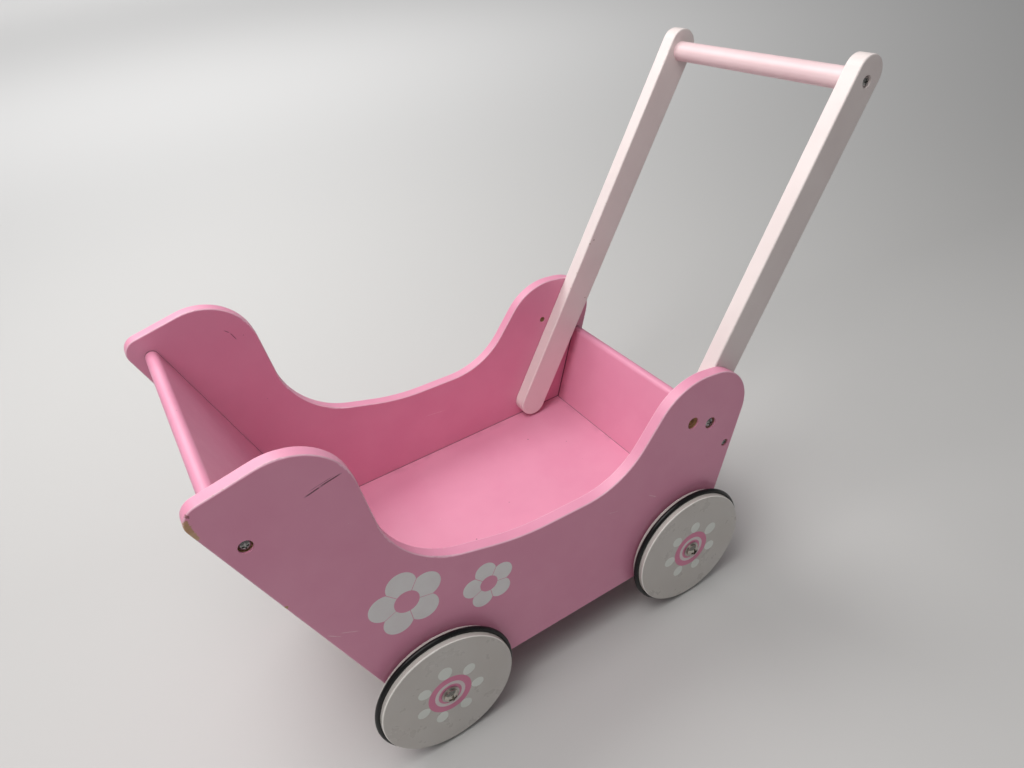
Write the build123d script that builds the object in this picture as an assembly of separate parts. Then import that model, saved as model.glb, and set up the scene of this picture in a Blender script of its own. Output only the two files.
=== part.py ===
from build123d import *
import math
import os

# A wooden doll pram: two shaped side panels, a floor, a front and a rear board,
# two leaning handle arms with a round grip, and four wooden wheels with rubber tyres.
# Millimetres. +X is forwards, away from the person pushing, +Y is the pram's left
# and +Z is up. While the pieces are drawn, x and z are measured from the front axle,
# so every height below is a height above the axles. At the end everything is moved,
# so that the origin lies on the ground under the middle of the whole pram.

# ------------------------------------------------------------------ driving sizes

# Wheels and tyres
wheel_diameter = 125.4
wheel_thickness = 13.5
wheel_rim_round = 1.2
wheel_flange_thickness = 4.0
wheel_flange_round = 0.8
tyre_cord = 5.0
tyre_stand_out = 3.8
tyre_groove_clearance = 0.05

# Running gear
wheelbase = 275.0
wheel_gap = 2.0
side_play = 0.3
axle_screw_diameter = 8.0
axle_running_clearance = 0.06
axle_screw_in_beam = 42.0
axle_head_diameter = 13.5
axle_head_height = 5.0
axle_washer_diameter = 17.0
axle_washer_thickness = 1.0
spacer_diameter = 18.0
axle_beam_width = 30.0
axle_beam_height = 30.0
axle_beam_edge_round = 1.5

# Tub
body_width = 264.0
panel_thickness = 12.0
panel_edge_round = 1.5
bottom_edge_height = -14.5
floor_height = 30.0
floor_thickness = 12.0
board_thickness = 12.0
front_board_inset = 10.0
front_board_top = 269.0
rear_board_inset = 3.0
rear_board_top = 118.0

# Outline of a side panel: the corners of the shape before they are rounded off.
# The front group is placed from the front axle, the rear group from the rear axle.
front_overhang = 29.3
front_lean = 19.5
tip_height = 279.7
hood_x = 27.5
hood_height = 301.9
dip_front_x = 8.9
dip_front_height = 149.8
dip_low_height = 117.5
dip_rear_from_axle = 71.2
dip_rear_height = 114.4
tail_from_axle = 2.9
tail_height = 194.4
tail_back_height = 181.4
rear_overhang = 24.2
rear_lean = 18.7
bottom_round = 6.0
tip_round = 13.0
hood_round = 49.5
dip_front_round = 87.0
dip_low_round = 210.0
dip_rear_round = 83.0
tail_round = 61.0
tail_back_round = 42.5

# Handle
arm_width = 31.0
arm_thickness = 16.0
arm_edge_round = 1.5
arm_lean = 32.0
arm_pivot_from_axle = 21.19
arm_floor_gap = 2.5
arm_lock_distance = 102.4
arm_spare_lean = 18.6
arm_grip_distance = 418.4
arm_end_beyond_grip = 6.5
grip_diameter = 19.0
grip_socket_depth = 4.0
grip_socket_clearance = 0.05

# Fasteners: every head is a dome with a straight rim and a cross recess
screw_rim_share = 0.35
screw_point_share = 0.3
recess_width_share = 0.58
recess_depth_share = 0.6
recess_slot_share = 0.26
screw_end_gap = 1.0
thread_clearance = 0.05
head_clearance = 1.0
shank_clearance = 0.2
board_screw_head = 8.4
board_screw_shank = 5.0
board_screw_length = 45.0
small_screw_head = 6.4
small_screw_shank = 3.5
small_screw_length = 38.0
handle_bolt_head = 10.4
handle_bolt_shank = 6.0
thread_insert_diameter = 9.0
thread_insert_length = 12.0
grip_screw_length = 42.0
counterbore_depth = 3.0
small_counterbore_depth = 2.2
head_recess_below_face = 0.4
top_screw_distance = 32.0
screw_edge_distance = 26.0
small_screw_edge_distance = 17.5
dowel_diameter = 6.0
dowel_in_panel = 8.0
dowel_in_floor = 22.0
dowel_clearance = 0.05
dowel_end_gap = 0.3
dowel_end_distance = 45.0

# ------------------------------------------------------------------ derived sizes

axle_height = wheel_diameter / 2 + tyre_stand_out
tyre_ring_radius = axle_height - tyre_cord / 2
rear_axle_x = -wheelbase
outer_y = body_width / 2
inner_y = outer_y - panel_thickness
wheel_inner_y = outer_y + wheel_gap
wheel_outer_y = wheel_inner_y + wheel_thickness
floor_underside = floor_height - floor_thickness
front_slope = math.tan(math.radians(front_lean))
rear_slope = math.tan(math.radians(rear_lean))
arm_inner_y = inner_y - arm_thickness
arm_pivot = (rear_axle_x + arm_pivot_from_axle, floor_height + arm_floor_gap + arm_width / 2)


def along_arm(distance, lean=arm_lean):
    """The point at this distance from the arm's lower bolt, up an arm that leans back by this angle."""
    turn = math.radians(lean)
    return (arm_pivot[0] - distance * math.sin(turn), arm_pivot[1] + distance * math.cos(turn))


def front_edge_x(z):
    """Where the panels' sloping front edge is at this height."""
    return front_overhang + (z - bottom_edge_height) * front_slope


def rear_edge_x(z):
    """Where the panels' sloping rear edge is at this height."""
    return rear_axle_x - rear_overhang - (z - bottom_edge_height) * rear_slope


def behind_front_edge(z, distance):
    """The point at this height that is this far behind the front edge, square to it."""
    return front_edge_x(z) - distance / math.cos(math.radians(front_lean))


def before_rear_edge(z, distance):
    """The point at this height that is this far before the rear edge, square to it."""
    return rear_edge_x(z) + distance / math.cos(math.radians(rear_lean))


def slab(sketch, y, thickness):
    """A flat piece whose left face lies at y, drawn in X and Z."""
    return extrude(Plane.XZ.offset(-y) * sketch, amount=thickness)


def rod(x, z, y_outside, length, diameter):
    """A round bar along Y that starts at y_outside and runs to the right."""
    return slab(Pos(x, z) * Circle(diameter / 2), y_outside, length)


def both_sides(piece):
    """A piece of the left side and its mirror image on the right."""
    return [piece, mirror(piece, about=Plane.XZ)]


# ------------------------------------------------------------------ fasteners


def domed_screw(head, height, shank, length):
    """A screw along Y with its head's underside at y = 0 and its shank towards -Y."""
    rim = height * screw_rim_share
    dome = height - rim
    sphere = (head**2 / 4 + dome**2) / (2 * dome)
    half_turn = math.asin(head / 2 / sphere) / 2
    middle = (sphere * math.sin(half_turn), height - sphere + sphere * math.cos(half_turn))
    tip = shank * screw_point_share
    side = Polyline(
        (0, height),
        (0, -length),
        (shank / 2 - tip, -length),
        (shank / 2, -length + tip),
        (shank / 2, 0),
        (head / 2, 0),
        (head / 2, rim),
    )
    crown = ThreePointArc((head / 2, rim), middle, (0, height))
    body = revolve(make_face(side + crown), axis=Axis.Y)
    recess = head * recess_width_share
    slot = Box(recess, 2 * height * recess_depth_share, recess * recess_slot_share)
    cross = slot + Rot(0, 90, 0) * slot
    return body - Pos(0, height, 0) * cross


def stepped_hole(x, z, y_face, head, head_depth, shank, depth):
    """The counterbore and the clearance hole of a screw that goes in from the left."""
    mouth = rod(x, z, y_face, head_depth, head + 2 * head_clearance)
    return mouth + rod(x, z, y_face, depth, shank + 2 * shank_clearance)


def seated(screw, x, z, y_face, depth):
    """A screw with its head on the floor of a counterbore of this depth."""
    return Pos(x, y_face - depth, z) * screw


head_height = counterbore_depth - head_recess_below_face
small_head_height = small_counterbore_depth - head_recess_below_face
board_screw = domed_screw(board_screw_head, head_height, board_screw_shank, board_screw_length)
small_screw = domed_screw(small_screw_head, small_head_height, small_screw_shank, small_screw_length)
handle_bolt_length = panel_thickness - counterbore_depth + thread_insert_length - screw_end_gap
handle_bolt = domed_screw(handle_bolt_head, head_height, handle_bolt_shank, handle_bolt_length)
grip_screw = domed_screw(board_screw_head, head_height, board_screw_shank, grip_screw_length)

# ------------------------------------------------------------------ where the fasteners go

front_board_middle = front_board_inset + board_thickness / 2
rear_board_middle = rear_board_inset + board_thickness / 2
low_screw_height = floor_underside + screw_edge_distance
front_screw_heights = (front_board_top - top_screw_distance, low_screw_height)
rear_screw_heights = (rear_board_top - small_screw_edge_distance, low_screw_height)
front_screw_places = [(behind_front_edge(z, front_board_middle), z) for z in front_screw_heights]
rear_screw_places = [(before_rear_edge(z, rear_board_middle), z) for z in rear_screw_heights]
arm_lock = along_arm(arm_lock_distance)
arm_spare = along_arm(arm_lock_distance, arm_spare_lean)
grip_place = along_arm(arm_grip_distance)
axle_places = {"front": (0.0, 0.0), "rear": (rear_axle_x, 0.0)}

floor_front_x = behind_front_edge(floor_height, front_board_inset + board_thickness)
floor_rear_x = before_rear_edge(floor_height, rear_board_inset + board_thickness)
dowel_height = floor_height - floor_thickness / 2
dowel_span = (floor_front_x - dowel_end_distance, floor_rear_x + dowel_end_distance)
dowel_places = [
    (dowel_span[0], dowel_height),
    ((dowel_span[0] + dowel_span[1]) / 2, dowel_height),
    (dowel_span[1], dowel_height),
]

# ------------------------------------------------------------------ side panel


def panel_outline():
    """The side panel's outline, in X and Z, as straight runs joined by tangent arcs."""
    dip_rear_x = rear_axle_x + dip_rear_from_axle
    corners = [
        (front_overhang, bottom_edge_height, bottom_round),
        (front_edge_x(tip_height), tip_height, tip_round),
        (hood_x, hood_height, hood_round),
        (dip_front_x, dip_front_height, dip_front_round),
        ((dip_front_x + dip_rear_x) / 2, dip_low_height, dip_low_round),
        (dip_rear_x, dip_rear_height, dip_rear_round),
        (rear_axle_x + tail_from_axle, tail_height, tail_round),
        (rear_edge_x(tail_back_height), tail_back_height, tail_back_round),
        (rear_edge_x(bottom_edge_height), bottom_edge_height, bottom_round),
    ]
    points = [(x, z) for x, z, _ in corners]
    radii = [radius for _, _, radius in corners]
    return make_face(FilletPolyline(*points, radius=radii, close=True))


def side_panel():
    """The left side panel, with the holes for everything that is fastened to it."""
    panel = slab(panel_outline(), outer_y, panel_thickness)
    faces = panel.faces().sort_by(Axis.Y)
    rims = faces[0].edges() + faces[-1].edges()
    panel = fillet(rims, panel_edge_round)
    for x, z in front_screw_places:
        panel -= stepped_hole(
            x, z, outer_y, board_screw_head, counterbore_depth, board_screw_shank, panel_thickness
        )
    for x, z in rear_screw_places:
        panel -= stepped_hole(
            x, z, outer_y, small_screw_head, small_counterbore_depth, small_screw_shank, panel_thickness
        )
    for x, z in (arm_pivot, arm_lock, arm_spare):
        panel -= stepped_hole(
            x, z, outer_y, handle_bolt_head, counterbore_depth, handle_bolt_shank, panel_thickness
        )
    for x, z in axle_places.values():
        panel -= rod(x, z, outer_y, panel_thickness, axle_screw_diameter + 2 * shank_clearance)
    for x, z in dowel_places:
        panel -= rod(x, z, inner_y + dowel_in_panel, dowel_in_panel, dowel_diameter + 2 * dowel_clearance)
    return panel


# ------------------------------------------------------------------ boards


def leaning_board(edge_x, lean, top):
    """A board parallel to a sloping edge: a plank cut level at the bottom, with a fully rounded top.

    edge_x gives the x of the board's middle plane at a height, and lean its angle from upright.
    """
    crown_z = top - board_thickness / 2
    crown_x = edge_x(crown_z)
    half = board_thickness / 2
    turn = math.radians(lean)
    across = (half * math.cos(turn), -half * math.sin(turn))
    foot = half / math.cos(turn)
    foot_x = edge_x(floor_underside)
    outline = Polyline(
        (crown_x + across[0], crown_z + across[1]),
        (foot_x + foot, floor_underside),
        (foot_x - foot, floor_underside),
        (crown_x - across[0], crown_z - across[1]),
        close=True,
    )
    profile = make_face(outline) + Pos(crown_x, crown_z) * Circle(half)
    return slab(profile, inner_y, 2 * inner_y)


def front_board():
    """The board that closes the tub's front, held by two screws at each end."""
    board = leaning_board(
        lambda z: behind_front_edge(z, front_board_middle), front_lean, front_board_top
    )
    depth = board_screw_length - panel_thickness + counterbore_depth + screw_end_gap
    for x, z in front_screw_places:
        hole = rod(x, z, inner_y, depth, board_screw_shank + 2 * thread_clearance)
        board -= Compound(both_sides(hole))
    return board


def rear_board():
    """The board that closes the tub's rear, held by two small screws at each end."""
    board = leaning_board(
        lambda z: before_rear_edge(z, rear_board_middle), -rear_lean, rear_board_top
    )
    depth = small_screw_length - panel_thickness + small_counterbore_depth + screw_end_gap
    for x, z in rear_screw_places:
        hole = rod(x, z, inner_y, depth, small_screw_shank + 2 * thread_clearance)
        board -= Compound(both_sides(hole))
    return board


def floor_board():
    """The tub's floor, with its ends cut to the slopes of the front and rear boards."""
    front_depth = front_board_inset + board_thickness
    rear_depth = rear_board_inset + board_thickness
    outline = Polyline(
        (behind_front_edge(floor_height, front_depth), floor_height),
        (behind_front_edge(floor_underside, front_depth), floor_underside),
        (before_rear_edge(floor_underside, rear_depth), floor_underside),
        (before_rear_edge(floor_height, rear_depth), floor_height),
        close=True,
    )
    board = slab(make_face(outline), inner_y, 2 * inner_y)
    for x, z in dowel_places:
        hole = rod(x, z, inner_y, dowel_in_floor, dowel_diameter + 2 * dowel_clearance)
        board -= Compound(both_sides(hole))
    return board


def axle_beam(x):
    """A square batten under the floor, between the side panels, that the axle screws hold in."""
    middle_z = floor_underside - axle_beam_height / 2
    section = Pos(x, middle_z) * RectangleRounded(axle_beam_width, axle_beam_height, axle_beam_edge_round)
    beam = slab(section, inner_y, 2 * inner_y)
    bore = axle_screw_diameter + 2 * thread_clearance
    hole = rod(x, 0, inner_y, axle_screw_in_beam + screw_end_gap, bore)
    return beam - Compound(both_sides(hole))


# ------------------------------------------------------------------ handle


def handle_arm():
    """The left arm: a flat bar with half-round ends, bolted to the panel's inner face."""
    length = arm_grip_distance + arm_end_beyond_grip
    middle = along_arm(length / 2)
    bar = Pos(*middle) * Rot(0, 0, 90 + arm_lean) * SlotCenterToCenter(length, arm_width)
    arm = slab(bar, inner_y, arm_thickness)
    faces = arm.faces().sort_by(Axis.Y)
    arm = fillet(faces[0].edges() + faces[-1].edges(), arm_edge_round)
    for x, z in (arm_pivot, arm_lock):
        arm -= rod(x, z, inner_y, thread_insert_length, thread_insert_diameter + 2 * thread_clearance)
    arm -= stepped_hole(
        *grip_place, inner_y, board_screw_head, counterbore_depth, board_screw_shank, arm_thickness
    )
    socket = grip_diameter + 2 * grip_socket_clearance
    arm -= rod(*grip_place, arm_inner_y + grip_socket_depth, grip_socket_depth, socket)
    return arm


def handle_grip():
    """The round grip, its ends let into the arms."""
    end_y = arm_inner_y + grip_socket_depth
    grip = rod(*grip_place, end_y, 2 * end_y, grip_diameter)
    wood_passed = arm_thickness - counterbore_depth - grip_socket_depth
    depth = grip_screw_length - wood_passed + screw_end_gap
    hole = rod(*grip_place, end_y, depth, board_screw_shank + 2 * thread_clearance)
    return grip - Compound(both_sides(hole))


def thread_insert(x, z):
    """A threaded metal sleeve in the arm that a handle bolt screws into."""
    sleeve = rod(x, z, inner_y, thread_insert_length, thread_insert_diameter)
    return sleeve - rod(x, z, inner_y, thread_insert_length, handle_bolt_shank + 2 * thread_clearance)


# ------------------------------------------------------------------ wheels


def turned(profile, x, z, y):
    """A profile of radius and height revolved about Y and set at x and z with its base at y."""
    return Pos(x, y, z) * revolve(profile, axis=Axis.Y)


def wheel(x, z):
    """A wooden disc with a groove for its tyre near the panel side and a rounded outer rim."""
    bore = axle_screw_diameter / 2 + axle_running_clearance
    radius = wheel_diameter / 2
    width = radius - bore
    blank = Pos(bore + width / 2, wheel_thickness / 2) * Rectangle(width, wheel_thickness)
    outer_corner = blank.vertices().group_by(Axis.X)[-1].sort_by(Axis.Y)[-1]
    blank = fillet(outer_corner, wheel_rim_round)
    inner_corner = blank.vertices().group_by(Axis.X)[-1].sort_by(Axis.Y)[0]
    blank = fillet(inner_corner, wheel_flange_round)
    groove_y = wheel_flange_thickness + tyre_cord / 2
    groove_round = tyre_cord / 2 + tyre_groove_clearance
    bottom = Pos(tyre_ring_radius, groove_y) * Circle(groove_round)
    mouth = Pos(tyre_ring_radius + tyre_cord / 2, groove_y) * Rectangle(tyre_cord, 2 * groove_round)
    return turned(blank - bottom - mouth, x, z, wheel_inner_y)


def tyre(x, z):
    """A rubber ring that lies in the wheel's groove and stands out of it."""
    ring_y = wheel_inner_y + wheel_flange_thickness + tyre_cord / 2
    return Pos(x, ring_y, z) * Rot(90, 0, 0) * Torus(tyre_ring_radius, tyre_cord / 2)


def washer(x, z, y, thickness, diameter):
    """A flat ring round the axle screw, with its right face at y."""
    ring = rod(x, z, y + thickness, thickness, diameter)
    return ring - rod(x, z, y + thickness, thickness, axle_screw_diameter + 2 * axle_running_clearance)


def axle_screw(x, z):
    """The screw that a wheel turns on, held in the axle beam, with a domed head outside the wheel."""
    seat_y = wheel_outer_y + side_play + axle_washer_thickness
    length = seat_y - inner_y + axle_screw_in_beam
    screw = domed_screw(axle_head_diameter, axle_head_height, axle_screw_diameter, length)
    return Pos(x, seat_y, z) * screw


# ------------------------------------------------------------------ the whole pram

left_panel = side_panel()
left_arm = handle_arm()
pieces = {
    "left_side_panel": [left_panel],
    "right_side_panel": [both_sides(left_panel)[1]],
    "front_board": [front_board()],
    "rear_board": [rear_board()],
    "floor_board": [floor_board()],
    "left_handle_arm": [left_arm],
    "right_handle_arm": [both_sides(left_arm)[1]],
    "handle_grip": [handle_grip()],
    "front_axle_beam": [axle_beam(axle_places["front"][0])],
    "rear_axle_beam": [axle_beam(axle_places["rear"][0])],
    "front_board_screws": [],
    "rear_board_screws": [],
    "handle_pivot_bolts": both_sides(seated(handle_bolt, *arm_pivot, outer_y, counterbore_depth)),
    "handle_lock_bolts": both_sides(seated(handle_bolt, *arm_lock, outer_y, counterbore_depth)),
    "handle_thread_inserts": both_sides(thread_insert(*arm_pivot)) + both_sides(thread_insert(*arm_lock)),
    "grip_screws": both_sides(seated(grip_screw, *grip_place, inner_y, counterbore_depth)),
    "floor_dowels": [],
}

for x, z in front_screw_places:
    pieces["front_board_screws"] += both_sides(seated(board_screw, x, z, outer_y, counterbore_depth))
for x, z in rear_screw_places:
    pieces["rear_board_screws"] += both_sides(seated(small_screw, x, z, outer_y, small_counterbore_depth))
dowel_length = dowel_in_panel + dowel_in_floor - 2 * dowel_end_gap
dowel_outer_end = inner_y + dowel_in_panel - dowel_end_gap
for x, z in dowel_places:
    dowel = rod(x, z, dowel_outer_end, dowel_length, dowel_diameter)
    pieces["floor_dowels"] += both_sides(dowel)

spacer_thickness = wheel_gap - side_play
for end, (x, z) in axle_places.items():
    wheel_set = {
        "wheel": wheel(x, z),
        "tyre": tyre(x, z),
        "axle_screw": axle_screw(x, z),
        "axle_washer": washer(x, z, wheel_outer_y + side_play, axle_washer_thickness, axle_washer_diameter),
        "wheel_spacer": washer(x, z, outer_y, spacer_thickness, spacer_diameter),
    }
    for name, piece in wheel_set.items():
        left, right = both_sides(piece)
        pieces[f"{end}_left_{name}"] = [left]
        pieces[f"{end}_right_{name}"] = [right]

solids = {name: [s for piece in group for s in piece.solids()] for name, group in pieces.items()}
whole = Compound([s for group in solids.values() for s in group]).bounding_box()
into_place = Pos(-(whole.min.X + whole.max.X) / 2, 0, axle_height)

os.makedirs("parts", exist_ok=True)
for name, group in solids.items():
    moved = [into_place * s for s in group]
    export_step(moved[0] if len(moved) == 1 else Compound(moved), f"parts/{name}.step")

print("front axle at x =", round(into_place.position.X, 3), "z =", into_place.position.Z)
print("overall size", [round(v, 2) for v in whole.size], "lowest z", round(whole.min.Z + axle_height, 3))
print("from the front axle: grip axis", [round(v, 3) for v in grip_place])
print("lower handle bolt", [round(v, 3) for v in arm_pivot], "lock bolt", [round(v, 3) for v in arm_lock])
print("spare hole", [round(v, 3) for v in arm_spare])
print("front screws", [(round(x, 3), round(z, 3)) for x, z in front_screw_places])
print("rear screws", [(round(x, 3), round(z, 3)) for x, z in rear_screw_places])
print("floor from x =", round(floor_rear_x, 3), "to", round(floor_front_x, 3))
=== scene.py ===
"""The looks of a wooden doll pram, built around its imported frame.

Everything is in metres and in the frame's own axes: +X forwards, +Y to the pram's left
and +Z up. The boards, arms, wheels and screws are the frame's own solids and get painted,
plated and worn finishes here. The flowers and rings printed on them are thin pieces made here.
"""

import logging
import math
from dataclasses import dataclass, field
from enum import Enum
from typing import Callable, Iterable, Sequence, Union

import bmesh
import bpy
from mathutils import Matrix, Vector


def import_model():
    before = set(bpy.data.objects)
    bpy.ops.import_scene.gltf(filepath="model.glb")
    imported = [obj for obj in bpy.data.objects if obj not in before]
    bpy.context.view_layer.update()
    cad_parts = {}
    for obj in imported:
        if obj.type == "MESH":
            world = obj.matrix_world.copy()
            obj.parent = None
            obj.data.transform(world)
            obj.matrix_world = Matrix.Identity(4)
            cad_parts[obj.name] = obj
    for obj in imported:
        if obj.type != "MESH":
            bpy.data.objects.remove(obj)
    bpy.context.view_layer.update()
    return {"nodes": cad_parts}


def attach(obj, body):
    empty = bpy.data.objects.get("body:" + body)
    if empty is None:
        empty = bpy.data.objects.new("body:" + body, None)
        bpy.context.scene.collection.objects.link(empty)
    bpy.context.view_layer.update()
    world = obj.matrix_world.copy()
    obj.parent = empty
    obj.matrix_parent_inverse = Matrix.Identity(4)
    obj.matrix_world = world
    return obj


Colour = tuple[float, float, float]
Point = tuple[float, float, float]
FlatPoint = tuple[float, float]
SocketValue = Union[bpy.types.NodeSocket, float, Colour, None]

log = logging.getLogger("doll_pram")

MM = 0.001

# ------------------------------------------------------------------ the pram's own measures

FRONT_AXLE_X = 0.182604
WHEELBASE = 0.275
REAR_AXLE_X = FRONT_AXLE_X - WHEELBASE
AXLE_Z = 0.0665
WHEEL_OUTER_Y = 0.1475
FLOOR_FRONT_X = FRONT_AXLE_X + 0.02172
FLOOR_REAR_X = FRONT_AXLE_X - 0.298426

# These faces are in millimetres, as the places of marks on them are.
OUTER_FACE = 132.0
INNER_FACE = 120.0
ARM_INNER_FACE = 104.0
FLOOR_TOP = 96.5


def from_axle(x: float, y: float, z: float) -> Point:
    """A point given in millimetres, with x from the front axle and z from the ground."""
    return (FRONT_AXLE_X + x * MM, y * MM, z * MM)


class Side(Enum):
    """The pram's two sides, by the sign of their y."""

    LEFT = 1
    RIGHT = -1

    @property
    def word(self) -> str:
        """The side's name as the frame's nodes have it."""
        return self.name.lower()


class Axle(Enum):
    """The two axles, by the x of their middle."""

    FRONT = FRONT_AXLE_X
    REAR = REAR_AXLE_X

    @property
    def word(self) -> str:
        """The axle's name as the frame's nodes have it."""
        return self.name.lower()


class Slot(Enum):
    """Names for the finishes of the printed pieces."""

    PRINT_WHITE = "print_white"
    PRINT_PINK = "print_pink"


# ------------------------------------------------------------------ shader building


class Shading:
    """A node tree with short calls for adding and joining nodes."""

    def __init__(self, tree: bpy.types.NodeTree) -> None:
        """Wraps a node tree."""
        self.tree = tree

    def node(self, kind: str, **settings: object) -> bpy.types.Node:
        """Adds one node.

        Args:
            kind: The node's type name.
            **settings: Properties to set on it.

        Returns:
            The new node.
        """
        made = self.tree.nodes.new(kind)
        for name, value in settings.items():
            setattr(made, name, value)
        return made

    def feed(self, socket: bpy.types.NodeSocket, value: SocketValue) -> None:
        """Joins a socket to another one, or sets its own value.

        Args:
            socket: The input to feed.
            value: An output socket, a number, a colour or a vector. None leaves it alone.
        """
        if value is None:
            return
        if isinstance(value, bpy.types.NodeSocket):
            self.tree.links.new(value, socket)
            return
        if isinstance(value, tuple) and socket.type == "RGBA":
            value = (*value, 1.0)
        socket.default_value = value

    def math(
        self, operation: str, a: SocketValue, b: SocketValue = None, clamp: bool = False
    ) -> bpy.types.NodeSocket:
        """Adds a Math node.

        Args:
            operation: The node's operation.
            a: Its first value.
            b: Its second value, where it has one.
            clamp: Keeps the result from 0 to 1.

        Returns:
            The result's socket.
        """
        made = self.node("ShaderNodeMath", operation=operation, use_clamp=clamp)
        self.feed(made.inputs[0], a)
        self.feed(made.inputs[1], b)
        return made.outputs[0]

    def vector(
        self, operation: str, a: SocketValue, b: SocketValue = None, scale: SocketValue = None
    ) -> bpy.types.NodeSocket:
        """Adds a Vector Math node.

        Args:
            operation: The node's operation.
            a: Its first vector.
            b: Its second vector, where it has one.
            scale: Its scale, where it has one.

        Returns:
            The result's socket, a number for a dot product or a distance.
        """
        made = self.node("ShaderNodeVectorMath", operation=operation)
        self.feed(made.inputs[0], a)
        self.feed(made.inputs[1], b)
        self.feed(made.inputs[3], scale)
        number = operation in ("DOT_PRODUCT", "DISTANCE")
        return made.outputs[1 if number else 0]

    def split(self, vector: SocketValue) -> tuple[bpy.types.NodeSocket, ...]:
        """The x, y and z of a vector, as three sockets."""
        made = self.node("ShaderNodeSeparateXYZ")
        self.feed(made.inputs[0], vector)
        return tuple(made.outputs)

    def join(self, x: SocketValue, y: SocketValue, z: SocketValue) -> bpy.types.NodeSocket:
        """A vector made from three numbers."""
        made = self.node("ShaderNodeCombineXYZ")
        for socket, value in zip(made.inputs, (x, y, z)):
            self.feed(socket, value)
        return made.outputs[0]

    def noise(
        self,
        place: SocketValue,
        scale: SocketValue,
        detail: float = 2.0,
        roughness: float = 0.5,
        distortion: float = 0.0,
    ) -> bpy.types.NodeSocket:
        """Adds a Noise Texture.

        Args:
            place: Where it is read.
            scale: Waves per metre.
            detail: Its octaves.
            roughness: How strong the finer octaves are.
            distortion: How much it is warped.

        Returns:
            The socket of its value, about 0.5 on average.
        """
        made = self.node("ShaderNodeTexNoise")
        self.feed(made.inputs["Vector"], place)
        self.feed(made.inputs["Scale"], scale)
        self.feed(made.inputs["Detail"], detail)
        self.feed(made.inputs["Roughness"], roughness)
        self.feed(made.inputs["Distortion"], distortion)
        return made.outputs[0]

    def step(
        self,
        value: SocketValue,
        low: SocketValue,
        high: SocketValue,
        start: float = 0.0,
        end: float = 1.0,
    ) -> bpy.types.NodeSocket:
        """A smooth step from start to end, as value goes from low to high.

        Args:
            value: The number that is read.
            low: Where the step starts.
            high: Where it ends.
            start: The result before it.
            end: The result after it.

        Returns:
            The result's socket.
        """
        made = self.node("ShaderNodeMapRange", interpolation_type="SMOOTHSTEP", clamp=True)
        for index, item in enumerate((value, low, high, start, end)):
            self.feed(made.inputs[index], item)
        return made.outputs[0]

    def mix(self, share: SocketValue, a: SocketValue, b: SocketValue) -> bpy.types.NodeSocket:
        """Mixes two colours.

        Args:
            share: The share of b.
            a: The first colour.
            b: The second colour.

        Returns:
            The result's socket.
        """
        made = self.node("ShaderNodeMix", data_type="RGBA")
        self.feed(made.inputs[0], share)
        self.feed(made.inputs[6], a)
        self.feed(made.inputs[7], b)
        return made.outputs[2]

    def local_place(self) -> bpy.types.NodeSocket:
        """The point's place in its own body's axes, in metres."""
        return self.node("ShaderNodeTexCoord").outputs["Object"]

    def local_normal(self) -> bpy.types.NodeSocket:
        """The surface's direction in its own body's axes."""
        return self.node("ShaderNodeTexCoord").outputs["Normal"]


@dataclass(frozen=True)
class Port:
    """One named input or output of a shader group."""

    name: str
    kind: str = "NodeSocketFloat"
    value: Union[float, Point, None] = None


VECTOR = "NodeSocketVector"


class Effect(Enum):
    """The shader groups that the finishes share."""

    SPRAYED_FILM = "sprayed_film"
    ROUNDED_RIM = "rounded_rim"
    LINE_MARK = "line_mark"
    SPOT_MARK = "spot_mark"
    SPECKS = "specks"
    RUBBED = "rubbed"
    SEAM_DIRT = "seam_dirt"
    BORED_HOLE = "bored_hole"
    PRESSED_FIBRE = "pressed_fibre"


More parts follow.
